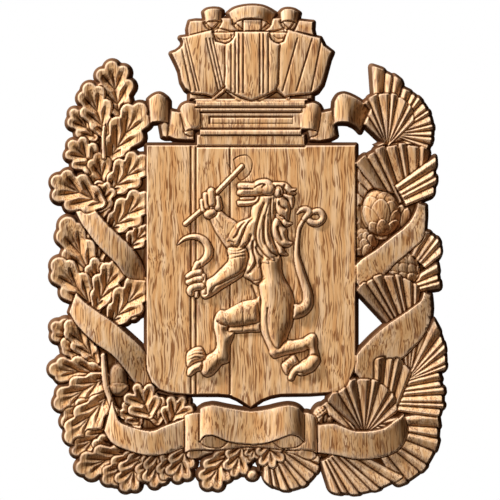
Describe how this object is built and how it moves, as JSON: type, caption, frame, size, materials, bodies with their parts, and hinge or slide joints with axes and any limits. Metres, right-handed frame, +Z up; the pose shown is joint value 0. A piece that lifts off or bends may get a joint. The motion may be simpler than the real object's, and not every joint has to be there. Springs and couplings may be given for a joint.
{
  "type": "carved coat of arms",
  "caption": "Carved oak wall relief: a shield with a rampant lion under a town crown, framed by oak leaves, ribbed fans and a ribbon.",
  "frame": {"origin": "on the flat back face, behind the middle of the shield", "axes": "+Y out of the flat back, towards the wall; +Z up the carving; the carved face looks along -Y"},
  "size_m": [0.4016, 0.0342, 0.4931],
  "materials": {
    "oak": "satin, clear oiled, recesses darker"
  },
  "bodies": {
    "root": {"coat_of_arms_relief": "oak"}
  },
  "joints": []
}
